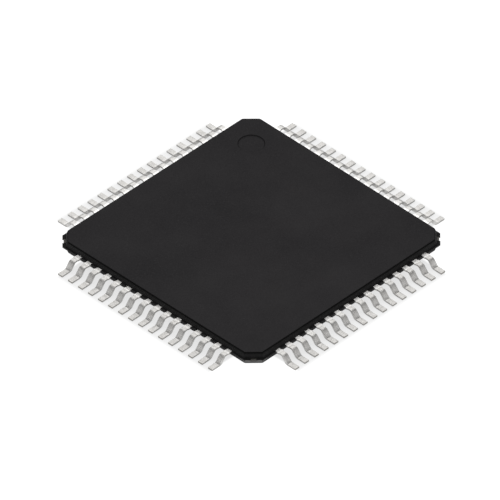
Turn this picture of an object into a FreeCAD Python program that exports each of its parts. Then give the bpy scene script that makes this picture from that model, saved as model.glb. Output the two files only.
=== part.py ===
"""A 64-lead thin quad flat pack, 10 mm square, which drives a video output.

Frame: millimetres, +Z up, origin at the centre of the seating plane under the feet.
The sides of the body run along X and Y, and pin 1 is at the -X +Y corner.
The pins count round the body against the clock, seen from above: 1 to 16 on the -X side,
17 to 32 on -Y, 33 to 48 on +X and 49 to 64 on +Y.
"""

import FreeCAD
import Part
import math
import os

# Moulded body
BODY_SIDE = 10.0  # across the parting line
BODY_THICKNESS = 1.0
STAND_OFF = 0.1  # from the seating plane to the underside
DRAFT_ANGLE = 10.0  # of every side face, in degrees
PARTING_LIP = 0.05  # how far the resin between the leads stands out of the drafted sides
TOP_CHAMFER = 0.45  # leg of each cut corner, on the top and bottom faces
LIP_CHAMFER = 0.43  # leg of each cut corner, on the parting line
BODY_EDGE_BREAK = 0.04  # leg of the small break along every outer edge

# Round marks that the mould leaves
PIN_ONE_MARK_DIAMETER = 1.0
PIN_ONE_MARK_INSET = 1.23  # from the edges of the top face to the centre of the mark
EJECTOR_MARK_DIAMETER = 1.2
EJECTOR_MARK_INSET = 1.6
MARK_DEPTH = 0.05
MARK_DRAFT = 0.03  # how much smaller the radius is at the floor of a mark

# Lead frame
LEADS_PER_SIDE = 16
LEAD_ROW_INSET = 1.25  # from the side of the body to the middle of the last lead of a row
LEAD_REACH = 0.95  # from the side of the body to the toe
LEAD_WIDTH = 0.22
LEAD_THICKNESS = 0.127
FOOT_LENGTH = 0.33  # the flat part that is soldered
LEG_ANGLE = 68.0  # of the leg below the horizontal, in degrees
BEND_RADIUS = 0.13  # at the middle of the metal
BEND_CHORDS = 6  # each bend is drawn in this many chords, which keeps 64 leads light

# Inner leads, which fan in towards the chip
INNER_TIP_GAP = 0.35  # in plan, from the die pad to the tips
INNER_TIP_ROW_INSET = 0.5  # from the corner where two rows of tips would meet to the last tip
INNER_TIP_WIDTH = 0.18
FAN_START_DEPTH = 0.5  # inside the body, where the straight stretch ends

# Die pad and its tie bars
PAD_MARGIN = 0.6  # of the pad all round the chip
PAD_DOWN_SET_DEPTH = 0.2  # of the pad below the leads
TIE_BAR_WIDTH = 0.2
TIE_BAR_NOTCH_SIDE_GAP = 0.02  # between the cut end and the sides of its notch in the lip
TIE_BAR_NOTCH_DEPTH = 0.045
TIE_BAR_RAMP_START = 0.15  # from the corner of the pad to the foot of the ramp
TIE_BAR_RAMP_LENGTH = 0.3

# Chip
DIE_SIDE = 4.0
DIE_THICKNESS = 0.28
DIE_ATTACH_THICKNESS = 0.025
DIE_ATTACH_MARGIN = 0.1  # how far the adhesive is squeezed out round the chip

# Bond wires
BOND_PAD_ROW_INSET = 0.35  # from the corner of the chip to the last bond pad of a row
BOND_PAD_INSET = 0.1  # from the edge of the chip
WIRE_THICKNESS = 0.025
WIRE_LOOP_HEIGHT = 0.15  # above the chip
STITCH_INSET = 0.2  # from the tip of the inner lead to the end of the wire
WIRE_LEAN = 0.06  # how far the rise leans out at its top

# Heights that follow from the sizes above
BODY_BOTTOM = STAND_OFF
BODY_TOP = STAND_OFF + BODY_THICKNESS
PARTING_HEIGHT = (BODY_BOTTOM + BODY_TOP) / 2
LEAD_TOP = PARTING_HEIGHT + LEAD_THICKNESS / 2
LEAD_BOTTOM = PARTING_HEIGHT - LEAD_THICKNESS / 2
PAD_TOP = LEAD_TOP - PAD_DOWN_SET_DEPTH
PAD_BOTTOM = PAD_TOP - LEAD_THICKNESS
DIE_BOTTOM = PAD_TOP + DIE_ATTACH_THICKNESS
DIE_TOP = DIE_BOTTOM + DIE_THICKNESS

# Distances from the middle of the pack
LIP_HALF = BODY_SIDE / 2
DRAFT_INSET = (BODY_THICKNESS - LEAD_THICKNESS) / 2 * math.tan(math.radians(DRAFT_ANGLE))
SHELL_HALF = LIP_HALF - PARTING_LIP  # the drafted faces, where they meet the lip
FACE_HALF = SHELL_HALF - DRAFT_INSET  # the top and bottom faces
TOE_DISTANCE = LIP_HALF + LEAD_REACH
FAN_START_DISTANCE = LIP_HALF - FAN_START_DEPTH
PAD_SIDE = DIE_SIDE + 2 * PAD_MARGIN
INNER_TIP_DISTANCE = PAD_SIDE / 2 + INNER_TIP_GAP
LIP_CORNER_DISTANCE = (2 * LIP_HALF - LIP_CHAMFER) / math.sqrt(2)
FACE_CORNER_DISTANCE = (2 * FACE_HALF - TOP_CHAMFER) / math.sqrt(2)
TIE_BAR_END = LIP_CORNER_DISTANCE - TIE_BAR_NOTCH_DEPTH

# Pitches of the three rows on a side
LEAD_PITCH = 2 * (LIP_HALF - LEAD_ROW_INSET) / (LEADS_PER_SIDE - 1)
INNER_TIP_PITCH = 2 * (INNER_TIP_DISTANCE - INNER_TIP_ROW_INSET) / (LEADS_PER_SIDE - 1)
BOND_PAD_PITCH = (DIE_SIDE - 2 * BOND_PAD_ROW_INSET) / (LEADS_PER_SIDE - 1)

ORIGIN = FreeCAD.Vector(0, 0, 0)
UP = FreeCAD.Vector(0, 0, 1)
HAIR = 1e-6  # closer than this is the same height


def turned(shape, degrees):
    """A copy of the shape, turned about the middle of the pack."""
    copy = shape.copy()
    copy.rotate(ORIGIN, UP, degrees)
    return copy


def four_turns(shape):
    """The shape on each of the four sides."""
    return [turned(shape, 90 * side) for side in range(4)]


def cut_corner_square(half, corner_distance, height):
    """The eight points of a square whose corners are cut at corner_distance from the middle."""
    near = math.sqrt(2) * corner_distance - half
    points = []
    for side in range(4):
        turn = FreeCAD.Rotation(UP, 90 * side)
        for x in (-near, near):
            points.append(turn.multVec(FreeCAD.Vector(x, -half, 0)) + UP * height)
    return points


def point(distance, height):
    """A point of a section drawn on the -Y side, in the plane X = 0."""
    return FreeCAD.Vector(0, -distance, height)


def outline(points):
    """The closed polygon through the points."""
    return Part.makePolygon(points + points[:1])


def flat_face(points):
    return Part.Face(outline(points))


def level_plate(points, bottom, top):
    """A plate with the given outline in plan, between two heights."""
    corners = [FreeCAD.Vector(x, y, bottom) for x, y in points]
    return flat_face(corners).extrude(UP * (top - bottom))


def upright_plate(edges, width):
    """A plate that is width wide across X, from the edges of a section drawn at X = 0."""
    face = Part.Face(Part.Wire(edges))
    face.translate(FreeCAD.Vector(-width / 2, 0, 0))
    return face.extrude(FreeCAD.Vector(width, 0, 0))


def square_plate(side, bottom, top):
    half = side / 2
    return level_plate([(-half, -half), (half, -half), (half, half), (-half, half)], bottom, top)


def drafted_bar(distance, lip_height, face_height):
    """A long bar with one drafted face on -Y and one on +Y, at this distance on the outer face."""
    lip_distance = distance + DRAFT_INSET
    corners = [
        point(-lip_distance, lip_height),
        point(lip_distance, lip_height),
        point(distance, face_height),
        point(-distance, face_height),
    ]
    return upright_plate(outline(corners).Edges, 2 * BODY_SIDE)


def drafted_shell(lip_height, face_height):
    """One half of the moulding: it narrows from the lip to the outer face, with soft edges."""
    sides = drafted_bar(FACE_HALF, lip_height, face_height)
    corners = drafted_bar(FACE_CORNER_DISTANCE, lip_height, face_height)
    shell = sides.common(turned(sides, 90)).common(turned(corners, 45)).common(turned(corners, 135))
    soft = [e for e in shell.Edges if abs(e.CenterOfMass.z - lip_height) > HAIR]
    return shell.makeChamfer(BODY_EDGE_BREAK, soft)


def parting_lip():
    """The resin between the leads, as thick as they are, notched where the tie bars were cut."""
    corners = cut_corner_square(LIP_HALF, LIP_CORNER_DISTANCE, LEAD_BOTTOM)
    lip = flat_face(corners).extrude(UP * LEAD_THICKNESS)
    half = TIE_BAR_WIDTH / 2 + TIE_BAR_NOTCH_SIDE_GAP
    notch = level_plate(
        [(-half, -2 * LIP_HALF), (half, -2 * LIP_HALF), (half, -TIE_BAR_END), (-half, -TIE_BAR_END)],
        LEAD_BOTTOM,
        LEAD_TOP,
    )
    return lip.cut(four_turns(turned(notch, 45)))


def round_mark(diameter, x, y, face_height, depth):
    """The body of a shallow round recess. A negative depth goes up, into the underside."""
    way = UP * (-1 if depth > 0 else 1)
    start = FreeCAD.Vector(x, y, face_height)
    return Part.makeCone(diameter / 2, diameter / 2 - MARK_DRAFT, abs(depth), start, way)


def body_outside():
    """The moulding as a full solid, with its marks."""
    shell = drafted_shell(LEAD_TOP, BODY_TOP)
    under = drafted_shell(LEAD_BOTTOM, BODY_BOTTOM)
    pin_one = FACE_HALF - PIN_ONE_MARK_INSET
    ejector = FACE_HALF - EJECTOR_MARK_INSET
    marks = [round_mark(PIN_ONE_MARK_DIAMETER, -pin_one, pin_one, BODY_TOP, MARK_DEPTH)]
    for way in (-1, 1):
        place = way * ejector
        marks.append(round_mark(EJECTOR_MARK_DIAMETER, place, place, BODY_BOTTOM, -MARK_DEPTH))
    return shell.fuse([parting_lip(), under]).removeSplitter().cut(marks)


def on_circle(centre, radius, degrees):
    angle = math.radians(degrees)
    return point(centre[0] + radius * math.cos(angle), centre[1] + radius * math.sin(angle))


def bend(centre, radius, start, end):
    """The chords of a bend from one angle to another, and its two ends."""
    turn = (end - start) / BEND_CHORDS
    points = [on_circle(centre, radius, start + turn * step) for step in range(BEND_CHORDS + 1)]
    return Part.makePolygon(points).Edges, points[0], points[-1]


def gull_wing_sheet():
    """The bent strip of the lead frame, wider than the lead: shoulder, leg and foot."""
    half = LEAD_THICKNESS / 2
    leg = math.radians(LEG_ANGLE)
    drop = PARTING_HEIGHT - half - 2 * BEND_RADIUS * (1 - math.cos(leg))
    heel = TOE_DISTANCE - FOOT_LENGTH
    shoulder = heel - 2 * BEND_RADIUS * math.sin(leg) - drop / math.tan(leg)
    shoulder_centre = (shoulder, PARTING_HEIGHT - BEND_RADIUS)
    heel_centre = (heel, half + BEND_RADIUS)

    def side_of_sheet(offset):
        start = point(INNER_TIP_DISTANCE, PARTING_HEIGHT + offset)
        end = point(TOE_DISTANCE, half + offset)
        upper, a, b = bend(shoulder_centre, BEND_RADIUS + offset, 90, 90 - LEG_ANGLE)
        lower, c, d = bend(heel_centre, BEND_RADIUS - offset, 270 - LEG_ANGLE, 270)
        runs = [Part.LineSegment(p, q).toShape() for p, q in ((start, a), (b, c), (d, end))]
        return [runs[0], *upper, runs[1], *lower, runs[2]], start, end

    over, over_start, over_end = side_of_sheet(half)
    under, under_start, under_end = side_of_sheet(-half)
    tip = Part.LineSegment(under_start, over_start).toShape()
    toe = Part.LineSegment(over_end, under_end).toShape()
    return upright_plate([tip] + over + [toe] + under[::-1], BODY_SIDE)


def lead_outline(place):
    """The stamped outline of one lead in plan, on the -Y side. place counts from 0 at -X."""
    step = place - (LEADS_PER_SIDE - 1) / 2
    middle, tip = step * LEAD_PITCH, step * INNER_TIP_PITCH
    half = LEAD_WIDTH / 2
    right = [
        (tip + INNER_TIP_WIDTH / 2, INNER_TIP_DISTANCE),
        (middle + half, FAN_START_DISTANCE),
        (middle + half, TOE_DISTANCE),
    ]
    left = [
        (middle - half, TOE_DISTANCE),
        (middle - half, FAN_START_DISTANCE),
        (tip - INNER_TIP_WIDTH / 2, INNER_TIP_DISTANCE),
    ]
    return [(x, -distance) for x, distance in right + left]


def lead(place, sheet):
    """One lead: the stamped outline, cut out of the bent sheet."""
    stamp = level_plate(lead_outline(place), 0, LEAD_TOP)
    return sheet.common(stamp).removeSplitter()


def tie_bar():
    """A bar on the diagonal, from under the chip up to the level of the leads and out."""
    pad_corner = PAD_SIDE / math.sqrt(2)
    inner = pad_corner - TIE_BAR_WIDTH  # its root lies inside the pad
    ramp_foot = pad_corner + TIE_BAR_RAMP_START
    ramp_head = ramp_foot + TIE_BAR_RAMP_LENGTH
    corners = [
        point(inner, PAD_TOP),
        point(ramp_foot, PAD_TOP),
        point(ramp_head, LEAD_TOP),
        point(TIE_BAR_END, LEAD_TOP),
        point(TIE_BAR_END, LEAD_BOTTOM),
        point(ramp_head, LEAD_BOTTOM),
        point(ramp_foot, PAD_BOTTOM),
        point(inner, PAD_BOTTOM),
    ]
    return turned(upright_plate(outline(corners).Edges, TIE_BAR_WIDTH), 45)


def die_pad():
    """The pad under the chip, in one piece with its four tie bars."""
    return square_plate(PAD_SIDE, PAD_BOTTOM, PAD_TOP).fuse(four_turns(tie_bar())).removeSplitter()


def die_attach():
    """The thin layer of adhesive that holds the chip."""
    return square_plate(DIE_SIDE + 2 * DIE_ATTACH_MARGIN, PAD_TOP, DIE_BOTTOM)


def die():
    return square_plate(DIE_SIDE, DIE_BOTTOM, DIE_TOP)


def offset_path(path, offset):
    """The path moved sideways by offset, with mitred corners. Its points are (along, height)."""
    ways = []
    for (a, b), (c, d) in zip(path, path[1:]):
        length = math.hypot(c - a, d - b)
        ways.append(((c - a) / length, (d - b) / length))
    moved = []
    for i, (along, height) in enumerate(path):
        before, after = ways[max(i - 1, 0)], ways[min(i, len(ways) - 1)]
        x, y = -(before[1] + after[1]), before[0] + after[0]
        scale = offset * 2 / (x * x + y * y)
        moved.append((along + x * scale, height + y * scale))
    return moved


def bond_wire(place):
    """A wire that rises from the chip and falls to the tip of its inner lead."""
    step = place - (LEADS_PER_SIDE - 1) / 2
    start = FreeCAD.Vector(step * BOND_PAD_PITCH, -(DIE_SIDE / 2 - BOND_PAD_INSET), 0)
    end_distance = INNER_TIP_DISTANCE + STITCH_INSET
    share = STITCH_INSET / (FAN_START_DISTANCE - INNER_TIP_DISTANCE)
    end_x = step * (INNER_TIP_PITCH + share * (LEAD_PITCH - INNER_TIP_PITCH))
    end = FreeCAD.Vector(end_x, -end_distance, 0)
    length = (end - start).Length
    half = WIRE_THICKNESS / 2
    crest = DIE_TOP + WIRE_LOOP_HEIGHT
    path = [(0, DIE_TOP), (WIRE_LEAN, crest), (length, LEAD_TOP)]
    over, under = offset_path(path, half), offset_path(path, -half)
    # both ends are cut level, where they lie on the chip and on the lead
    rise_reach = half * math.hypot(1, WIRE_LEAN / WIRE_LOOP_HEIGHT)
    fall = (crest - LEAD_TOP) / (length - WIRE_LEAN)
    fall_reach = half * math.hypot(1, fall) / fall
    over[0], under[0] = (-rise_reach, DIE_TOP), (rise_reach, DIE_TOP)
    over[-1], under[-1] = (length + fall_reach, LEAD_TOP), (length - fall_reach, LEAD_TOP)
    corners = [FreeCAD.Vector(0, -along, height) for along, height in over + under[::-1]]
    wire = upright_plate(outline(corners).Edges, WIRE_THICKNESS)
    course = math.degrees(math.atan2(end.x - start.x, start.y - end.y))
    wire.rotate(ORIGIN, UP, course)
    wire.translate(start)
    return wire


def pin_numbers(place):
    """The four pins that share one stamped shape, as part of a node's name."""
    return "_".join(f"{place + 1 + side * LEADS_PER_SIDE:02d}" for side in range(4))


def build():
    """Every node's name and solids."""
    sheet = gull_wing_sheet()
    nodes = {}
    for place in range(LEADS_PER_SIDE):
        # drawn on the -Y side, pins 17 to 32, and turned back to the -X side for the first
        leads = four_turns(turned(lead(place, sheet), -90))
        wires = four_turns(turned(bond_wire(place), -90))
        nodes["leads_" + pin_numbers(place)] = leads
        nodes["bond_wires_" + pin_numbers(place)] = wires
    nodes["die_pad"] = [die_pad()]
    nodes["die_attach"] = [die_attach()]
    nodes["die"] = [die()]
    inside = [solid for solids in nodes.values() for solid in solids]
    nodes["body"] = [body_outside().cut(inside)]
    return nodes


def main():
    os.makedirs("parts", exist_ok=True)
    for name, solids in build().items():
        shape = solids[0] if len(solids) == 1 else Part.makeCompound(solids)
        shape.exportStep(f"parts/{name}.step")
        print(name, len(shape.Solids), "solid(s)", round(shape.Volume, 5), "mm3")


main()
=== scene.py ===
"""Dresses a 64-lead quad flat chip and sets it on a pale floor for its picture.

Lengths are in metres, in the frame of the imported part: the origin is at the centre of the
seating plane, +Z is up and pin 1 is at the -X +Y corner. A lead is drawn on the -Y side, where
its distance from the middle of the chip is -Y, and is then turned to the other three sides.
"""

import math

import bmesh
import bpy
from mathutils import Matrix, Vector


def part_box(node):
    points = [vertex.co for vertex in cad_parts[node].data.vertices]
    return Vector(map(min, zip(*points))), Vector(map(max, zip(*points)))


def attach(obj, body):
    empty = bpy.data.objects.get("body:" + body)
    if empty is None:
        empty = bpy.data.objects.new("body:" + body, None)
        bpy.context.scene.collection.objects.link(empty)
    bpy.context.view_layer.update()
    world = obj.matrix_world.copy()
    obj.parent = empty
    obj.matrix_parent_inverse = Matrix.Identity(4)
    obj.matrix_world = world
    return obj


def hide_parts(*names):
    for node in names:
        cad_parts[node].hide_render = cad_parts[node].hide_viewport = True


bl_info = {
    "name": "Quad flat chip",
    "version": (1, 0, 0),
    "blender": (4, 5, 0),
    "location": "View3D > Sidebar > Chip",
    "description": "Moulds the body, bends the leads and lights the picture of a quad flat chip",
    "category": "Object",
}

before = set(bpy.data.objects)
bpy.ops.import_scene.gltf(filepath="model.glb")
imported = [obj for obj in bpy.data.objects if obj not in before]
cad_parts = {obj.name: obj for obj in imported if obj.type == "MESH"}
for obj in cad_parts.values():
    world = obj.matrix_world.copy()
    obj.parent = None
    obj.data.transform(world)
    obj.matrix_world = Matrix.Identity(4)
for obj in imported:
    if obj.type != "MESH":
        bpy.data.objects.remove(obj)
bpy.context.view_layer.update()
BODY_LOW, BODY_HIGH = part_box("body")
LEADS_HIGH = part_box("leads_01_17_33_49")[1]

MM = 0.001
HAIR = 1e-7  # closer than this is the same place
LEVEL = 0.9  # a face is level if its normal's Z is past this
BEND_STEPS = 6  # flat stretches round each bend of a lead
ROUND_SIDES = 72  # flat stretches round each recess
SENSOR = 36.0  # width of the camera's sensor in millimetres
MIX_SHARE, MIX_FIRST, MIX_SECOND, MIX_RESULT = 0, 6, 7, 2  # a Mix node's sockets for colours


def length(name, description, default):
    """A setting that is a length."""
    return bpy.props.FloatProperty(
        name=name, description=description, default=default, min=0.0, unit="LENGTH", precision=6
    )


def angle(name, description, degrees):
    """A setting that is an angle, given in degrees."""
    return bpy.props.FloatProperty(
        name=name, description=description, default=math.radians(degrees), subtype="ANGLE"
    )


def colour(name, description, default):
    """A setting that is a colour."""
    return bpy.props.FloatVectorProperty(
        name=name, description=description, default=default, min=0.0, max=1.0, subtype="COLOR"
    )


def position(name, description, default):
    """A setting that is a place."""
    return bpy.props.FloatVectorProperty(
        name=name,
        description=description,
        default=default,
        subtype="XYZ",
        unit="LENGTH",
        precision=6,
    )


def amount(name, description, default, unit="NONE"):
    """A setting that is a strength or a power."""
    return bpy.props.FloatProperty(
        name=name, description=description, default=default, min=0.0, unit=unit
    )


class BodySizes(bpy.types.PropertyGroup):
    """Sizes of the moulded body"""

    side: length("Side", "Across the parting line", BODY_HIGH.x - BODY_LOW.x)
    bottom: length("Underside", "Height of the underside", BODY_LOW.z)
    top: length("Top", "Height of the top face", BODY_HIGH.z)
    draft_angle: angle("Draft", "Lean of every side face", 10)
    lip_reach: length("Lip", "How far the resin between the leads stands out", 0.05 * MM)
    lip_chamfer: length("Lip corner", "Leg of each cut corner on the parting line", 0.43 * MM)
    slot_depth: length("Slot depth", "Of the slots for the leads and tie bars", 0.2 * MM)
    top_chamfer: length("Face corner", "Leg of each cut corner on the top and bottom", 0.45 * MM)
    soft_edge: length("Soft edge", "Width of the rounding along the outer edges", 0.045 * MM)
    # The arris line is painted shade: a dark line along the edges of the side faces.
    arris_width: length("Arris", "Width of the dark line along a side face's edge", 0.012 * MM)
    arris_end: length("Arris end", "From that edge to where the line has faded", 0.04 * MM)
    pin_one_diameter: length("Pin 1 mark", "Across the round recess at pin 1", 1.0 * MM)
    pin_one_inset: length("Pin 1 inset", "From the edges of the top face", 1.23 * MM)
    ejector_diameter: length("Ejector mark", "Across the recesses in the underside", 1.2 * MM)
    ejector_inset: length("Ejector inset", "From the edges of the underside", 1.6 * MM)
    mark_depth: length("Mark depth", "Depth of the round recesses", 0.05 * MM)
    mark_draft: length("Mark draft", "How much smaller the floor's radius is", 0.03 * MM)


class LeadSizes(bpy.types.PropertyGroup):
    """Sizes of one lead and of the rows"""

    per_side: bpy.props.IntProperty(
        name="Leads on a side", description="In each of the four rows", default=16, min=1
    )
    row_inset: length("Row inset", "From the side of the body to the last lead", 1.25 * MM)
    width: length("Width", "Across one lead", 0.22 * MM)
    thickness: length("Thickness", "Of the metal", 0.127 * MM)
    toe: length("Toe", "From the middle of the chip to a lead's toe", LEADS_HIGH.x)
    top: length("Shoulder height", "Of the upper side of the shoulder", LEADS_HIGH.z)
    foot: length("Foot", "Length of the flat foot", 0.33 * MM)
    leg_angle: angle("Leg", "Slope of the leg below the horizontal", 68)
    bend_radius: length("Bend", "Radius of both bends, at the middle of the metal", 0.13 * MM)
    tip: length("Inner tip", "From the middle of the chip to the inner tips", 2.95 * MM)
    tip_row_inset: length("Tip row inset", "From the meeting of two tip rows", 0.5 * MM)
    tip_width: length("Tip width", "Across an inner tip", 0.18 * MM)
    fan_start: length("Fan start", "Depth in the body where the straight part ends", 0.5 * MM)
    # The bright root is a painted highlight.
    root_start: length("Root", "From the body to where the bright root fades", 0.1 * MM)
    root_end: length("Root end", "From the body to where it has faded", 0.16 * MM)
    stub_start: length("Stub start", "From the body to the trimmed dam bar's stubs", 0.05 * MM)
    stub_length: length("Stub length", "Of the stubs along the lead", 0.09 * MM)
    stub_reach: length("Stub reach", "How far the stubs stand out sideways", 0.02 * MM)
    soft_edge: length("Soft edge", "Width of the rounding along the stamped edges", 0.012 * MM)


class TieBarSizes(bpy.types.PropertyGroup):
    """Sizes of the tie bars' cut ends and of the notches they lie in"""

    width: length("Width", "Across a tie bar", 0.2 * MM)
    notch_gap: length("Notch gap", "Beside the cut end, in its notch in the lip", 0.02 * MM)
    notch_depth: length("Notch depth", "From the lip's corner face to the cut end", 0.045 * MM)


class Finishes(bpy.types.PropertyGroup):
    """Colours of the finishes"""

    resin: colour("Resin", "Black moulding compound", (0.0065, 0.0059, 0.0066))
    # Painted shade: the side faces are darker than the top face.
    resin_wall_shade: colour("Wall resin", "The smoother side faces", (0.0042, 0.004, 0.0042))
    # Painted shade: a black line along the edges of the side faces.
    resin_arris_shade: colour("Arris resin", "The line along the edges of the faces", (0.0, 0.0, 0.0))
    resin_light: colour("Light resin", "Filler specks and faint clouds", (0.017, 0.016, 0.0165))
    # Painted light: pale grey on the trimmed corners, standing in for light from the floor.
    resin_corner_light: colour("Broken resin", "The trimmed corners", (0.13, 0.127, 0.125))
    tin: colour("Tin", "Matte plating of the leads", (0.48, 0.473, 0.46))
    # Painted highlight: lighter tin on the roots and the legs.
    tin_highlight: colour("Bright tin", "The burnished roots and legs", (0.62, 0.612, 0.597))
    # Dark tone between the crystals, and painted shade on the feet.
    tin_dark_and_foot_shade: colour("Dark tin", "Between the crystals, and on the feet", (0.26, 0.254, 0.245))
    cut_metal: colour("Cut metal", "Bare ends that were cut after plating", (0.27, 0.26, 0.24))
    strip: colour("Strip", "Bare metal of the die pad and tie bars", (0.42, 0.4, 0.375))
    # Painted shade: darker metal at the tie bars' cut ends, in their notches.
    strip_notch_shade: colour("Dull strip", "The tie bars' cut ends", (0.05, 0.048, 0.044))
    adhesive: colour("Adhesive", "Silver-filled layer under the chip", (0.55, 0.55, 0.53))
    silicon: colour("Silicon", "The chip", (0.1, 0.105, 0.13))
    gold: colour("Gold", "The bond wires", (0.9, 0.62, 0.24))
    floor: colour("Floor", "The pale floor", (0.13, 0.13, 0.13))


class GrainSizes(bpy.types.PropertyGroup):
    """Sizes of the grain in the finishes"""

    resin_cloud: length("Resin clouds", "Across the compound's faint clouds", 2.2 * MM)
    resin_grain: length("Resin grain", "Across the grain of the compound", 0.045 * MM)
    resin_relief: length("Resin relief", "Height of that grain", 0.006 * MM)
    resin_speck: length("Filler specks", "From one filler speck to the next", 0.11 * MM)
    # Mottle of the painted light on the trimmed corners.
    corner_light_mottle: length("Resin chips", "Across the chips at the trimmed corners", 0.06 * MM)
    tin_crystal: length("Tin crystals", "Across the crystals of the plating", 0.03 * MM)
    tin_relief: length("Tin relief", "Height of the crystals", 0.004 * MM)
    tin_patch: length("Tin patches", "Across the plating's duller patches", 0.16 * MM)
    strip_line: length("Rolling lines", "Along the lines of the bare strip", 0.4 * MM)
    strip_relief: length("Rolling relief", "Height of those lines", 0.002 * MM)
    flake: length("Silver flakes", "From one flake of the adhesive to the next", 0.03 * MM)
    flake_relief: length("Flake relief", "Height of the flakes", 0.003 * MM)
    circuit_block: length("Circuit blocks", "Across the chip's blocks of circuits", 0.5 * MM)
    wire_line: length("Wire lines", "Across the die lines of the bond wires", 0.02 * MM)
    floor_patch: length("Floor patches", "Across the floor's uneven patches", 30 * MM)


class StageSettings(bpy.types.PropertyGroup):
    """The camera, the floor and the lights"""

    azimuth: angle("Azimuth", "Where the camera stands, from -Y towards +X", 45.16)
    elevation: angle("Elevation", "Of the camera above the horizon", 57.85)
    roll: angle("Roll", "Of the camera about its line of sight", -0.62)
    squeeze: angle("Squeeze", "The lean that makes up for the photo's squeezed height", 41.21)
    distance: length("Distance", "From the chip to the camera", 1.08)
    lens: bpy.props.FloatProperty(
        name="Lens", description="Focal length in millimetres", default=1634.5, min=1.0
    )
    aim: position("Aim", "The middle of the picture", (0.271 * MM, -0.397 * MM, 0.5 * MM))
    floor_side: length("Floor", "Side of the floor", 0.5)
    floor_glow: amount("Floor glow", "Strength of the light from under the floor", 0.71)
    clear_glow: amount("Clear glow", "The same, clear of the chip and its leads", 1.0)
    clear_start: length("Clear start", "From the toes out to the clear floor", 0.35 * MM)
    sky: amount("Sky", "Strength of the even light from all round", 0.3)
    lamp_side: length("Lamp side", "Side of both lamps", 0.9)
    softbox_power: amount("Softbox", "Power of the lamp overhead", 5.4, "POWER")
    softbox_place: position("Softbox place", "Of the lamp overhead", (-0.17, 0.17, 0.4))
    fill_power: amount("Fill", "Power of the lamp at the viewer's side", 1.6, "POWER")
    fill_place: position("Fill place", "Of the lamp at the viewer's side", (0.25, -0.25, 0.35))


def start_fresh():
    """Leave edit mode and select nothing."""
    if bpy.context.mode != "OBJECT":
        bpy.ops.object.mode_set(mode="OBJECT")
    bpy.ops.object.select_all(action="DESELECT")


def pick(kind, test):
    """In edit mode, select just the VERT, EDGE or FACE parts that pass the test."""
    bpy.ops.mesh.select_mode(type=kind)
    bpy.ops.mesh.select_all(action="DESELECT")
    mesh = bmesh.from_edit_mesh(bpy.context.object.data)
    parts = {"VERT": mesh.verts, "EDGE": mesh.edges, "FACE": mesh.faces}[kind]
    for part in parts:
        if test(part):
            part.select_set(True)
    mesh.select_flush_mode()
    bmesh.update_edit_mesh(bpy.context.object.data)


def near(a, b):
    """Whether two coordinates are the same."""
    return abs(a - b) < HAIR


def apply_modifier(kind, **settings):
    """Add a modifier to the active piece, set it and apply it."""
    bpy.ops.object.modifier_add(type=kind)
    modifier = bpy.context.object.modifiers[-1]
    for name, value in settings.items():
        setattr(modifier, name, value)
    bpy.ops.object.modifier_apply(modifier=modifier.name)


def shade(degrees):
    """Smooth the active piece's rounded edges and keep its flat faces flat."""
    bpy.ops.object.shade_smooth_by_angle(angle=math.radians(degrees))
    apply_modifier("WEIGHTED_NORMAL", keep_sharp=True)


def own_copy(piece):
    """A copy of the piece with a mesh of its own."""
    made = piece.copy()
    made.data = piece.data.copy()
    bpy.context.collection.objects.link(made)
    return made


def four_turns(piece):
    """The piece and three copies, turned about the middle of the chip to the other sides."""
    turns = [piece] + [own_copy(piece) for _ in range(3)]
    for side, made in enumerate(turns):
        made.data.transform(Matrix.Rotation(math.radians(90 * side), 4, "Z"))
    return turns


def join(pieces, name):
    """Make one piece of several and name it."""
    start_fresh()
    for piece in pieces:
        piece.select_set(True)
    bpy.context.view_layer.objects.active = pieces[0]
    bpy.ops.object.join()
    joined = bpy.context.object
    joined.name = joined.data.name = name
    return joined


def finish_piece(piece, finish, slot, *nodes):
    """Give the piece its finish and let it stand for its nodes."""
    piece.data.materials.clear()
    piece.data.materials.append(finish)
    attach(piece, "root")
    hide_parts(*nodes)


def corner_reach(half, chamfer):
    """From the middle of a square with cut corners to the middle of a cut corner's face."""
    return (2 * half - chamfer) / math.sqrt(2)


def draft_inset(sizes, leads):
    """How far the lean of the side faces brings in the edges of the top face."""
    return (sizes.top - leads.top) * math.tan(sizes.draft_angle)


def top_face_half(sizes, leads):
    """From the middle of the chip to the edge of its top face."""
    return sizes.side / 2 - sizes.lip_reach - draft_inset(sizes, leads)


def box_cutter(name, width, inner, outer, leads):
    """A box on the -Y side, from inner to outer in distance and as high as the strip."""
    bottom, top = leads.top - leads.thickness, leads.top
    start_fresh()
    bpy.ops.mesh.primitive_cube_add(size=1)
    cutter = bpy.context.object
    cutter.name = name
    bpy.ops.object.mode_set(mode="EDIT")
    bpy.ops.transform.resize(value=(width, outer - inner, top - bottom))
    middle = (0, -(inner + outer) / 2, (bottom + top) / 2)
    bpy.ops.transform.translate(value=middle)
    bpy.ops.object.mode_set(mode="OBJECT")
    return cutter


def round_cutter(diameter, draft, x, y, floor, mouth):
    """A short cone that cuts a round recess, from its floor to well outside its mouth."""
    start_fresh()
    depth = mouth - floor
    reach = 3 * depth
    bpy.ops.mesh.primitive_cone_add(
        vertices=ROUND_SIDES,
        radius1=diameter / 2 - draft,
        radius2=diameter / 2 + draft * (reach / depth - 1),
        depth=abs(reach),
        location=(x, y, floor + reach / 2),
        rotation=(0 if reach > 0 else math.pi, 0, 0),
    )
    bpy.ops.object.transform_apply(location=True, rotation=True, scale=True)
    return bpy.context.object


def lead_places(sizes, leads):
    """Where the middles of a row's leads are along the row."""
    last = sizes.side / 2 - leads.row_inset
    return [last * (2 * place / (leads.per_side - 1) - 1) for place in range(leads.per_side)]


def slot_cutters(sizes, leads):
    """A box for the slot that each lead comes out of."""
    inner, outer = sizes.side / 2 - sizes.slot_depth, sizes.side / 2 + sizes.lip_reach
    cutters = []
    for place in lead_places(sizes, leads):
        slot = box_cutter("slot", leads.width, inner, outer, leads)
        slot.data.transform(Matrix.Translation((place, 0, 0)))
        cutters += four_turns(slot)
    return cutters


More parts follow.
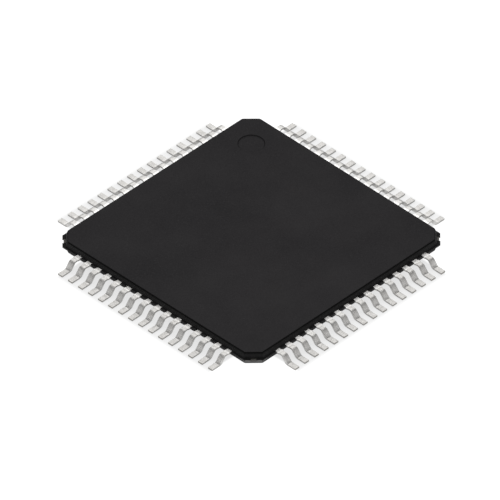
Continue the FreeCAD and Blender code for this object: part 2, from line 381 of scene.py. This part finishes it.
def tie_bar_cutters(sizes, leads, bars):
    """The boxes for the notches in the lip's corners, and those for the tie bars behind them."""
    bar_end = corner_reach(sizes.side / 2, sizes.lip_chamfer) - bars.notch_depth
    well_outside = 0.75 * sizes.side
    notch_width = bars.width + 2 * bars.notch_gap
    notch = box_cutter("notch", notch_width, bar_end, well_outside, leads)
    bar = box_cutter("bar", bars.width, bar_end - sizes.slot_depth, bar_end + HAIR, leads)
    for cutter in (notch, bar):
        cutter.data.transform(Matrix.Rotation(math.radians(45), 4, "Z"))
    return four_turns(notch), four_turns(bar)


def mark_cutters(sizes, leads):
    """The cones for the pin 1 mark in the top and for the two ejector marks in the underside."""
    pin_one = top_face_half(sizes, leads) - sizes.pin_one_inset
    ejector = top_face_half(sizes, leads) - sizes.ejector_inset
    width, draft = sizes.pin_one_diameter, sizes.mark_draft
    floor = sizes.top - sizes.mark_depth
    cutters = [round_cutter(width, draft, -pin_one, pin_one, floor, sizes.top)]
    width, floor = sizes.ejector_diameter, sizes.bottom + sizes.mark_depth
    for place in (-ejector, ejector):
        cutters.append(round_cutter(width, draft, place, place, floor, sizes.bottom))
    return cutters


def cut_away(piece, cutters):
    """Cut the cutters out of the piece, and remove them."""
    cutter = join(cutters, "cutter")
    start_fresh()
    piece.select_set(True)
    bpy.context.view_layer.objects.active = piece
    apply_modifier("BOOLEAN", operation="DIFFERENCE", object=cutter, solver="EXACT")
    bpy.data.objects.remove(cutter)


def drafted_half(sizes, lip_height, face_height, inset):
    """In edit mode, raise one half of the moulding from the lip, up or down to its face.

    The foot of the drafted sides is the lip's outline, inset evenly. Its cut corners are then
    widened or narrowed, so that those of the face come out at their own size.
    """
    way = 1 if face_height > lip_height else -1
    half = sizes.side / 2 - sizes.lip_reach
    even_corner = corner_reach(sizes.side / 2, sizes.lip_chamfer) - sizes.lip_reach
    wanted_corner = corner_reach(half - inset, sizes.top_chamfer) + inset
    even_edge = math.sqrt(2) * even_corner - half
    wanted_edge = math.sqrt(2) * wanted_corner - half

    def is_face(face):
        return face.normal.z * way > LEVEL and near(face.calc_center_median().z, lip_height)

    def is_inner(face):
        inside = all(max(abs(v.co.x), abs(v.co.y)) < half + HAIR for v in face.verts)
        return inside and is_face(face)

    pick("FACE", is_face)
    bpy.ops.mesh.inset(thickness=sizes.lip_reach)
    for axis in (0, 1):
        pick("VERT", lambda v: near(v.co.z, lip_height) and near(abs(v.co[1 - axis]), half))
        scale = [1.0, 1.0, 1.0]
        scale[axis] = wanted_edge / even_edge
        bpy.ops.transform.resize(value=scale, center_override=(0, 0, 0))
    pick("FACE", is_inner)
    bpy.ops.mesh.inset(thickness=inset, depth=abs(face_height - lip_height))


def moulded_blank(sizes, leads):
    """The moulding as a closed block with soft edges: the lip between its two drafted halves."""
    lip_top, lip_bottom = leads.top, leads.top - leads.thickness
    inset = draft_inset(sizes, leads)
    start_fresh()
    bpy.ops.mesh.primitive_plane_add(size=sizes.side)
    blank = bpy.context.object
    blank.name = blank.data.name = "moulded_body"
    bpy.ops.object.mode_set(mode="EDIT")
    bpy.ops.transform.translate(value=(0, 0, lip_bottom))
    bpy.ops.mesh.bevel(offset_type="ABSOLUTE", offset=sizes.lip_chamfer, affect="VERTICES")
    bpy.ops.mesh.select_all(action="SELECT")
    bpy.ops.mesh.extrude_region_move(
        TRANSFORM_OT_translate={"value": (0, 0, lip_top - lip_bottom)}
    )
    bpy.ops.mesh.select_all(action="SELECT")
    bpy.ops.mesh.normals_make_consistent(inside=False)
    drafted_half(sizes, lip_top, sizes.top, inset)
    drafted_half(sizes, lip_bottom, sizes.bottom, inset)
    faces = (sizes.bottom, sizes.top)
    pick("EDGE", lambda edge: any(near(v.co.z, face) for v in edge.verts for face in faces))
    bpy.ops.mesh.bevel(offset=sizes.soft_edge, segments=4, affect="EDGES")
    bpy.ops.object.mode_set(mode="OBJECT")
    return blank


class CHIP_OT_moulded_body(bpy.types.Operator):
    """Mould the body, with a slot for every lead, the tie bars' notches and the round marks"""

    bl_idname = "chip.moulded_body"
    bl_label = "Moulded body"

    def execute(self, context):
        scene = context.scene
        sizes, leads = scene.chip_body, scene.chip_leads
        body = moulded_blank(sizes, leads)
        slots = slot_cutters(sizes, leads)
        notches, bars = tie_bar_cutters(sizes, leads, scene.chip_tie_bars)
        cut_away(body, slots + notches + mark_cutters(sizes, leads))
        cut_away(body, bars)
        shade(35)
        finish_piece(body, resin_finish(scene), "mould_compound", "body")
        return {"FINISHED"}


def pick_end():
    """Select the outer end of the strip, which is its edge furthest out on the -Y side."""
    mesh = bmesh.from_edit_mesh(bpy.context.object.data)
    furthest = min(v.co.y for v in mesh.verts)
    pick("EDGE", lambda e: all(near(v.co.y, furthest) for v in e.verts))


def run_on(distance, slope=0.0):
    """Draw the strip on from its end, by this distance and at this slope below the horizontal."""
    pick_end()
    step = (0, -distance * math.cos(slope), -distance * math.sin(slope))
    bpy.ops.mesh.extrude_region_move(TRANSFORM_OT_translate={"value": step})


def bend(centre_distance, centre_height, turn):
    """Bend the strip's end about a line along the row. A positive turn bends it down."""
    pick_end()
    centre = (0, -centre_distance, centre_height)
    bpy.ops.mesh.spin(steps=BEND_STEPS, angle=turn, center=centre, axis=(-1, 0, 0))


def gull_wing(sizes, leads):
    """One lead in the middle of its row: inner tip, shoulder with its stubs, leg and foot."""
    half = leads.thickness / 2
    middle = leads.top - half
    radius, slope = leads.bend_radius, leads.leg_angle
    lip_half = sizes.side / 2
    drop = middle - half - 2 * radius * (1 - math.cos(slope))
    heel = leads.toe - leads.foot
    shoulder_end = heel - 2 * radius * math.sin(slope) - drop / math.tan(slope)
    fan_start = lip_half - leads.fan_start
    stub_start = lip_half + leads.stub_start
    stub_end = stub_start + leads.stub_length

    start_fresh()
    bpy.ops.mesh.primitive_plane_add(size=1)
    lead = bpy.context.object
    lead.name = "lead"
    bpy.ops.object.mode_set(mode="EDIT")
    bpy.ops.transform.resize(value=(leads.width, fan_start - leads.tip, 1))
    bpy.ops.transform.translate(value=(0, -(leads.tip + fan_start) / 2, middle))
    pick("VERT", lambda v: near(v.co.y, -leads.tip))
    taper = (leads.tip_width / leads.width, 1, 1)
    bpy.ops.transform.resize(value=taper, center_override=(0, 0, 0))
    run_on(stub_start - fan_start)
    run_on(stub_end - stub_start)
    run_on(shoulder_end - stub_end)
    bend(shoulder_end, middle - radius, slope)
    run_on(drop / math.sin(slope), slope)
    bend(heel, half + radius, -slope)
    run_on(leads.foot)
    for way in (-1, 1):
        pick(
            "EDGE",
            lambda e: all(near(v.co.x, way * leads.width / 2) for v in e.verts)
            and {round(v.co.y / HAIR) for v in e.verts}
            == {round(-stub_start / HAIR), round(-stub_end / HAIR)},
        )
        bpy.ops.mesh.extrude_region_move(
            TRANSFORM_OT_translate={"value": (way * leads.stub_reach, 0, 0)}
        )
    bpy.ops.mesh.select_all(action="SELECT")
    bpy.ops.mesh.remove_doubles(threshold=HAIR)
    bpy.ops.mesh.normals_make_consistent(inside=False)
    bpy.ops.object.mode_set(mode="OBJECT")
    apply_modifier("SOLIDIFY", thickness=leads.thickness, offset=0.0, use_even_offset=True)
    apply_modifier(
        "BEVEL",
        width=leads.soft_edge,
        segments=2,
        limit_method="ANGLE",
        angle_limit=math.radians(50),
    )
    return lead


class CHIP_OT_leads(bpy.types.Operator):
    """Bend one lead, and copy it to its places in the four rows with its inner tip fanned in"""

    bl_idname = "chip.leads"
    bl_label = "Leads"

    def execute(self, context):
        scene = context.scene
        sizes, leads = scene.chip_body, scene.chip_leads
        finish = tin_finish(scene)
        pattern = gull_wing(sizes, leads)
        shade(40)
        last = leads.per_side - 1
        tip_last = leads.tip - leads.tip_row_inset
        fan_start = sizes.side / 2 - leads.fan_start
        for place, middle in enumerate(lead_places(sizes, leads)):
            lead = own_copy(pattern)
            start_fresh()
            bpy.context.view_layer.objects.active = lead
            bpy.ops.object.mode_set(mode="EDIT")
            bpy.ops.mesh.select_all(action="SELECT")
            bpy.ops.transform.translate(value=(middle, 0, 0))
            pick("VERT", lambda v: v.co.y > -(leads.tip + fan_start) / 2)
            bpy.ops.transform.translate(value=(tip_last * (2 * place / last - 1) - middle, 0, 0))
            bpy.ops.object.mode_set(mode="OBJECT")
            pins = "_".join(f"{place + 1 + side * leads.per_side:02d}" for side in range(4))
            row = join(four_turns(lead), f"plated_leads_{pins}")
            finish_piece(row, finish, "tinned_leads", f"leads_{pins}")
        bpy.data.objects.remove(pattern)
        return {"FINISHED"}


class CHIP_OT_inside(bpy.types.Operator):
    """Give the die pad, the adhesive, the chip and the bond wires their finishes"""

    bl_idname = "chip.inside"
    bl_label = "Inside"

    def execute(self, context):
        made = {
            "die_pad": strip_finish(context.scene),
            "die_attach": adhesive_finish(context.scene),
            "die": silicon_finish(context.scene),
            "bond_wires": gold_finish(context.scene),
        }
        for name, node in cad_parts.items():
            kind = "bond_wires" if name.startswith("bond_wires") else name
            if kind in made:
                node.data.materials.clear()
                node.data.materials.append(made[kind])
        return {"FINISHED"}


def new_finish(name):
    """A material, its node tree and its main shader."""
    finish = bpy.data.materials.new(name)
    finish.use_nodes = True
    return finish, finish.node_tree, finish.node_tree.nodes["Principled BSDF"]


def add(tree, kind, inputs, **settings):
    """A new node. An input is a value, or a node or socket that is linked in."""
    node = tree.nodes.new("ShaderNode" + kind)
    for name, value in settings.items():
        setattr(node, name, value)
    for name, value in inputs.items():
        plug(tree, node, name, value)
    return node


def plug(tree, node, name, value):
    """Fill one input of a node with a value, a node's first output or another socket."""
    if isinstance(value, bpy.types.Node):
        tree.links.new(value.outputs[0], node.inputs[name])
    elif isinstance(value, bpy.types.NodeSocket):
        tree.links.new(value, node.inputs[name])
    else:
        node.inputs[name].default_value = value


def place_on_piece(tree):
    """Where a point is on the piece, in metres."""
    return add(tree, "TexCoord", {}).outputs["Object"]


def noise(tree, grain, detail=3.0, roughness=0.55):
    """A noise with grains of this size in metres."""
    inputs = {"Vector": place_on_piece(tree), "Scale": 1 / grain, "Detail": detail}
    return add(tree, "TexNoise", inputs | {"Roughness": roughness})


def cells(tree, size, randomness=1.0, **settings):
    """A pattern of cells of this size in metres."""
    inputs = {"Vector": place_on_piece(tree), "Scale": 1 / size, "Randomness": randomness}
    return add(tree, "TexVoronoi", inputs, **settings)


def spread(tree, value, low, high, to_low=0.0, to_high=1.0):
    """Map a value from one span to another, and clamp it."""
    inputs = {"Value": value, "From Min": low, "From Max": high}
    return add(tree, "MapRange", inputs | {"To Min": to_low, "To Max": to_high})


def spread_noise(tree, value, to_low=0.0, to_high=1.0):
    """Map the span that nearly all of a noise lies in to another, and clamp it."""
    return spread(tree, value, 0.3, 0.7, to_low, to_high)


def math_node(tree, operation, first, second=0.0):
    """One step of arithmetic with two values."""
    return add(tree, "Math", {0: first, 1: second}, operation=operation)


def blend(tree, share, first, second):
    """The first colour at share 0 and the second at share 1."""
    inputs = {MIX_SHARE: share, MIX_FIRST: first, MIX_SECOND: second}
    return add(tree, "Mix", inputs, data_type="RGBA").outputs[MIX_RESULT]


def opaque(rgb, dim=1.0):
    """A colour for a socket, made darker by this factor."""
    return (*(dim * channel for channel in rgb), 1.0)


def add_bump(tree, shader, height, depth):
    """Raise the surface by the height, which is depth metres at 1."""
    bump = add(tree, "Bump", {"Height": height, "Distance": depth, "Strength": 1.0})
    plug(tree, shader, "Normal", bump)


def from_middle(tree):
    """How far a point is from the middle of the chip, along X and along Y."""
    split = add(tree, "SeparateXYZ", {0: place_on_piece(tree)})
    return [math_node(tree, "ABSOLUTE", split.outputs[axis]) for axis in (0, 1)]


def distance_out(tree):
    """How far a point is from the middle of the chip, towards the nearest side."""
    return math_node(tree, "MAXIMUM", *from_middle(tree))


def distance_along(tree):
    """How far a point is from the middle of the nearest side, along that side."""
    return math_node(tree, "MINIMUM", *from_middle(tree))


def diagonal_distance(tree):
    """How far a point is from the middle of the chip, towards the nearest corner."""
    both = math_node(tree, "ADD", *from_middle(tree))
    return math_node(tree, "MULTIPLY", both, math.sqrt(0.5))


def height_up(tree):
    """How high a point is above the seating plane."""
    return add(tree, "SeparateXYZ", {0: place_on_piece(tree)}).outputs[2]


def resin_face_tone(tree, finishes, grains):
    """The compound's black, with paler filler specks and faint clouds."""
    clouds = spread_noise(tree, noise(tree, grains.resin_cloud, detail=2.0), 0.0, 0.35)
    to_speck = cells(tree, grains.resin_speck).outputs["Distance"]
    specks = spread(tree, to_speck, 0.12, 0.28, 0.5, 0.0)
    light = math_node(tree, "MAXIMUM", clouds, specks)
    return blend(tree, light, opaque(finishes.resin), opaque(finishes.resin_light))


def wall_shade_shares(tree, sizes, leads):
    """Where the side faces are, for their painted shade, and how near a point on them is to their
    arris, for the line of painted shade along it.
    """
    face_half = top_face_half(sizes, leads)
    face_corner = corner_reach(face_half, sizes.top_chamfer)
    past_side = math_node(tree, "SUBTRACT", distance_out(tree), face_half)
    past_corner = math_node(tree, "SUBTRACT", diagonal_distance(tree), face_corner)
    past_edge = math_node(tree, "MAXIMUM", past_side, past_corner)
    walls = spread(tree, past_edge, -0.02 * MM, -0.01 * MM)
    arris = spread(tree, past_edge, sizes.arris_width, sizes.arris_end, 1.0, 0.0)
    return walls, arris


def corner_light_share(tree, sizes, leads, grains):
    """Where the trimmed corners get pale painted light from the floor: the lip's corner faces,
    and the faces below the lip there, where it fades towards the underside."""
    diagonal, height = diagonal_distance(tree), height_up(tree)
    face_corner = corner_reach(top_face_half(sizes, leads), sizes.top_chamfer)
    lip_corner = corner_reach(sizes.side / 2, sizes.lip_chamfer)
    parting = (sizes.bottom + sizes.top) / 2
    lip_end = spread(tree, diagonal, lip_corner - 0.012 * MM, lip_corner - 0.004 * MM)
    at_corner = spread(tree, diagonal, face_corner, face_corner + 0.01 * MM)
    below_lip = spread(tree, height, parting, parting - 0.02 * MM)
    fading = spread(tree, height, sizes.bottom, parting, 0.3, 1.0)
    lower = math_node(tree, "MULTIPLY", below_lip, fading)
    lower = math_node(tree, "MULTIPLY", at_corner, lower)
    chips = spread(tree, noise(tree, grains.corner_light_mottle), 0.35, 0.6, 0.6, 1.0)
    return math_node(tree, "MULTIPLY", math_node(tree, "MAXIMUM", lip_end, lower), chips)


def resin_finish(scene):
    """Matte black moulding compound with a fine grain. The side faces are darker, as painted
    shade, with a dull black line of painted shade along their arris, and the trimmed corners are
    pale grey, as painted light from the floor."""
    finishes, grains = scene.chip_finishes, scene.chip_grains
    sizes, leads = scene.chip_body, scene.chip_leads
    finish, tree, shader = new_finish("mould_compound")
    grain = noise(tree, grains.resin_grain, detail=4.0, roughness=0.6)
    face = resin_face_tone(tree, finishes, grains)
    walls, arris = wall_shade_shares(tree, sizes, leads)
    # Painted shade: darker resin on the side faces, and black along their arris.
    wall = blend(tree, arris, opaque(finishes.resin_wall_shade), opaque(finishes.resin_arris_shade))
    tone = blend(tree, walls, face, wall)
    # Painted light: pale grey on the trimmed corners.
    trimmed = corner_light_share(tree, sizes, leads, grains)
    plug(tree, shader, "Base Color", blend(tree, trimmed, tone, opaque(finishes.resin_corner_light)))
    shader.inputs["Specular IOR Level"].default_value = 0.1
    rough = spread_noise(tree, grain, 0.55, 0.75)
    line = math_node(tree, "MULTIPLY", walls, arris)
    dull_line = math_node(tree, "MULTIPLY", line, 0.95)
    plug(tree, shader, "Roughness", math_node(tree, "MAXIMUM", rough, dull_line))
    add_bump(tree, shader, grain, grains.resin_relief)
    return finish


def tin_finish(scene):
    """Matte tin plating with a fine crystal grain, with a painted highlight at the roots and on
    the legs, painted shade on the feet, and bare metal on the cut toes."""
    finishes, grains = scene.chip_finishes, scene.chip_grains
    sizes, leads = scene.chip_body, scene.chip_leads
    finish, tree, shader = new_finish("tinned_leads")
    crystals = noise(tree, grains.tin_crystal, detail=4.0, roughness=0.65)
    patches = noise(tree, grains.tin_patch, detail=2.0)
    fine = spread(tree, crystals, 0.35, 0.7, 0.0, 0.55)
    coarse = spread(tree, patches, 0.4, 0.75, 0.0, 0.4)
    dark = math_node(tree, "ADD", fine, coarse)
    plating = blend(tree, dark, opaque(finishes.tin), opaque(finishes.tin_dark_and_foot_shade))

    out, height = distance_out(tree), height_up(tree)
    lip_half, heel = sizes.side / 2, leads.toe - leads.foot
    # Painted highlight: lighter tin at the roots next to the body and on the lower legs.
    root = spread(tree, out, lip_half + leads.root_end, lip_half + leads.root_start)
    above_foot = spread(tree, height, leads.thickness, leads.thickness + 0.05 * MM)
    below_bend = spread(tree, height, 0.8 * leads.top, 0.5 * leads.top, 0.0, 0.65)
    leg = math_node(tree, "MULTIPLY", above_foot, below_bend)
    bright = math_node(tree, "MAXIMUM", root, leg)
    plating = blend(tree, bright, plating, opaque(finishes.tin_highlight))
    # Painted shade: darker tin on the feet.
    foot = spread(tree, out, heel, heel + 0.08 * MM, 0.0, 0.3)
    plating = blend(tree, foot, plating, opaque(finishes.tin_dark_and_foot_shade))
    cut = spread(tree, out, leads.toe - 0.006 * MM, leads.toe - 0.002 * MM)
    plug(tree, shader, "Base Color", blend(tree, cut, plating, opaque(finishes.cut_metal)))
    shader.inputs["Metallic"].default_value = 1.0
    plug(tree, shader, "Roughness", spread(tree, crystals, 0.3, 0.75, 0.42, 0.6))
    add_bump(tree, shader, crystals, grains.tin_relief)
    return finish


def strip_finish(scene):
    """Bare iron-nickel strip, brushed along by rolling, and darkened with painted shade at the
    tie bars' cut ends, in their notches.
    """
    finishes, grains, sizes = scene.chip_finishes, scene.chip_grains, scene.chip_body
    finish, tree, shader = new_finish("lead_frame_metal")
    stretch = add(tree, "Mapping", {"Vector": place_on_piece(tree), "Scale": (1.0, 12.0, 12.0)})
    scale = 1 / grains.strip_line
    lines = add(tree, "TexNoise", {"Vector": stretch, "Scale": scale, "Detail": 4.0})
    strip, dark = opaque(finishes.strip), opaque(finishes.strip, 0.7)
    tone = blend(tree, spread_noise(tree, lines), strip, dark)
    # Painted shade: darker metal at the tie bars' cut ends, in their notches.
    outside = corner_reach(sizes.side / 2, sizes.lip_chamfer) - sizes.slot_depth
    dull = spread(tree, diagonal_distance(tree), outside, outside + 0.05 * MM)
    plug(tree, shader, "Base Color", blend(tree, dull, tone, opaque(finishes.strip_notch_shade)))
    shader.inputs["Metallic"].default_value = 1.0
    plug(tree, shader, "Roughness", spread_noise(tree, lines, 0.4, 0.58))
    add_bump(tree, shader, lines, grains.strip_relief)
    return finish


def adhesive_finish(scene):
    """Cured epoxy that is full of silver flakes."""
    silver = scene.chip_finishes.adhesive
    finish, tree, shader = new_finish("silver_adhesive")
    to_flake = cells(tree, scene.chip_grains.flake).outputs["Distance"]
    epoxy = spread(tree, to_flake, 0.2, 0.7)
    plug(tree, shader, "Base Color", blend(tree, epoxy, opaque(silver), opaque(silver, 0.45)))
    plug(tree, shader, "Metallic", spread(tree, to_flake, 0.2, 0.7, 0.8, 0.0))
    plug(tree, shader, "Roughness", spread(tree, to_flake, 0.2, 0.7, 0.35, 0.6))
    add_bump(tree, shader, to_flake, scene.chip_grains.flake_relief)
    return finish


def silicon_finish(scene):
    """Polished silicon, with faint tinted blocks of circuits on its face."""
    silicon = scene.chip_finishes.silicon
    finish, tree, shader = new_finish("silicon")
    blocks = cells(tree, scene.chip_grains.circuit_block, 0.8, distance="CHEBYCHEV")
    split = add(tree, "SeparateColor", {"Color": blocks.outputs["Color"]})
    tint = [channel * gain for channel, gain in zip(silicon, (1.9, 1.5, 1.2))]
    share = spread(tree, split.outputs[0], 0.2, 0.9, 0.0, 0.8)
    plug(tree, shader, "Base Color", blend(tree, share, opaque(silicon), opaque(tint)))
    shader.inputs["Metallic"].default_value = 0.6
    plug(tree, shader, "Roughness", spread(tree, split.outputs[1], 0.0, 1.0, 0.12, 0.22))
    return finish


def gold_finish(scene):
    """Drawn gold wire with faint die lines."""
    gold = scene.chip_finishes.gold
    finish, tree, shader = new_finish("gold_wire")
    lines = noise(tree, scene.chip_grains.wire_line, detail=3.0)
    tone = blend(tree, spread_noise(tree, lines), opaque(gold), opaque(gold, 0.75))
    plug(tree, shader, "Base Color", tone)
    shader.inputs["Metallic"].default_value = 1.0
    plug(tree, shader, "Roughness", spread_noise(tree, lines, 0.18, 0.34))
    return finish


def floor_finish(scene):
    """A pale matte floor with a barely uneven tone, which glows softly as painted light from
    under it.
    The glow is stronger clear of the chip and its leads, which keeps the shadow close to them."""
    pale, stage = scene.chip_finishes.floor, scene.chip_stage
    sizes, leads = scene.chip_body, scene.chip_leads
    finish, tree, shader = new_finish("pale_floor")
    share = spread_noise(tree, noise(tree, scene.chip_grains.floor_patch))
    plug(tree, shader, "Base Color", blend(tree, share, opaque(pale), opaque(pale, 0.985)))
    shader.inputs["Roughness"].default_value = 0.9
    shader.inputs["Specular IOR Level"].default_value = 0.1
    shader.inputs["Emission Color"].default_value = opaque((1.0, 1.0, 1.0))
    # Painted light: the floor glows more past the toes and beyond the ends of the rows.
    past_toes = spread(tree, distance_out(tree), leads.toe, leads.toe + stage.clear_start)
    last_lead = sizes.side / 2 - leads.row_inset
    past_row = spread(tree, distance_along(tree), last_lead, last_lead + leads.width / 2)
    clear = math_node(tree, "MAXIMUM", past_toes, past_row)
    glow = spread(tree, clear, 0.0, 1.0, stage.floor_glow, stage.clear_glow)
    plug(tree, shader, "Emission Strength", glow)
    return finish


def add_camera(stage):
    """A long lens at the photo's angle. The photo is squeezed in height, and the camera's X axis
    leans towards the viewer to repeat that. Its parent holds the lean, so it isn't scaled."""
    back = Vector(
        (
            math.sin(stage.azimuth) * math.cos(stage.elevation),
            -math.cos(stage.azimuth) * math.cos(stage.elevation),
            math.sin(stage.elevation),
        )
    )
    level = Vector((math.cos(stage.azimuth), math.sin(stage.azimuth), 0))
    upright = back.cross(level)
    right = math.cos(stage.roll) * level + math.sin(stage.roll) * upright
    up = math.cos(stage.roll) * upright - math.sin(stage.roll) * level
    leaning = math.cos(stage.squeeze) * right + math.sin(stage.squeeze) * back
    place = Vector(stage.aim) + stage.distance * back
    columns = [leaning.to_4d(), up.to_4d(), back.to_4d(), place.to_4d()]
    for column in columns[:3]:
        column.w = 0.0
    start_fresh()
    bpy.ops.object.empty_add(location=(0, 0, 0))
    holder = bpy.context.object
    holder.name = "camera_holder"
    start_fresh()
    bpy.ops.object.camera_add(location=(0, 0, 0), rotation=(0, 0, 0))
    camera = bpy.context.object
    camera.name = "camera"
    camera.parent = holder
    camera.matrix_parent_inverse = Matrix(columns).transposed()
    camera.data.lens = stage.lens
    camera.data.sensor_width = SENSOR
    camera.data.clip_start, camera.data.clip_end = stage.distance / 100, stage.distance * 3
    bpy.context.scene.camera = camera


def add_lamp(name, side, power, place):
    """A square soft lamp that faces the chip."""
    start_fresh()
    facing = Vector(place).to_track_quat("Z", "Y").to_euler()
    bpy.ops.object.light_add(type="AREA", location=tuple(place), rotation=facing)
    lamp = bpy.context.object
    lamp.name = name
    lamp.data.shape = "SQUARE"
    lamp.data.size = side
    lamp.data.energy = power


def add_sky(scene, strength):
    """Even white light from all round."""
    sky = bpy.data.worlds.new("sky")
    sky.use_nodes = True
    background = sky.node_tree.nodes["Background"]
    background.inputs["Color"].default_value = opaque((1.0, 1.0, 1.0))
    background.inputs["Strength"].default_value = strength
    scene.world = sky


class CHIP_OT_stage(bpy.types.Operator):
    """Lay the pale floor, light it softly and set up the camera at the photo's angle"""

    bl_idname = "chip.stage"
    bl_label = "Stage"

    def execute(self, context):
        scene = context.scene
        stage = scene.chip_stage
        start_fresh()
        bpy.ops.mesh.primitive_plane_add(size=stage.floor_side)
        floor = context.object
        floor.name = "floor"
        floor.data.materials.append(floor_finish(scene))
        add_sky(scene, stage.sky)
        add_lamp("softbox", stage.lamp_side, stage.softbox_power, stage.softbox_place)
        add_lamp("front_fill", stage.lamp_side, stage.fill_power, stage.fill_place)
        scene.view_settings.view_transform = "Standard"
        add_camera(stage)
        return {"FINISHED"}


class CHIP_PT_panel(bpy.types.Panel):
    """The chip's pieces and sizes"""

    bl_label = "Chip"
    bl_space_type = "VIEW_3D"
    bl_region_type = "UI"
    bl_category = "Chip"

    def draw(self, context):
        for group in SETTINGS:
            box = self.layout.box()
            box.label(text=group.replace("_", " ").capitalize())
            settings = getattr(context.scene, group)
            for name in settings.bl_rna.properties.keys():
                if name not in ("rna_type", "name"):
                    box.prop(settings, name)
        for operator in OPERATORS:
            self.layout.operator(operator.bl_idname)


SETTINGS = {
    "chip_body": BodySizes,
    "chip_leads": LeadSizes,
    "chip_tie_bars": TieBarSizes,
    "chip_finishes": Finishes,
    "chip_grains": GrainSizes,
    "chip_stage": StageSettings,
}
OPERATORS = (CHIP_OT_moulded_body, CHIP_OT_leads, CHIP_OT_inside, CHIP_OT_stage)
CLASSES = (*SETTINGS.values(), *OPERATORS, CHIP_PT_panel)


def register():
    """Register the classes and give the scene their settings."""
    for made in CLASSES:
        bpy.utils.register_class(made)
    for name, settings in SETTINGS.items():
        setattr(bpy.types.Scene, name, bpy.props.PointerProperty(type=settings))


def unregister():
    """Take the settings off the scene and unregister the classes."""
    for name in SETTINGS:
        delattr(bpy.types.Scene, name)
    for made in reversed(CLASSES):
        bpy.utils.unregister_class(made)


def main():
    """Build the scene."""
    register()
    bpy.ops.chip.moulded_body()
    bpy.ops.chip.leads()
    bpy.ops.chip.inside()
    bpy.ops.chip.stage()


if __name__ == "__main__":
    main()
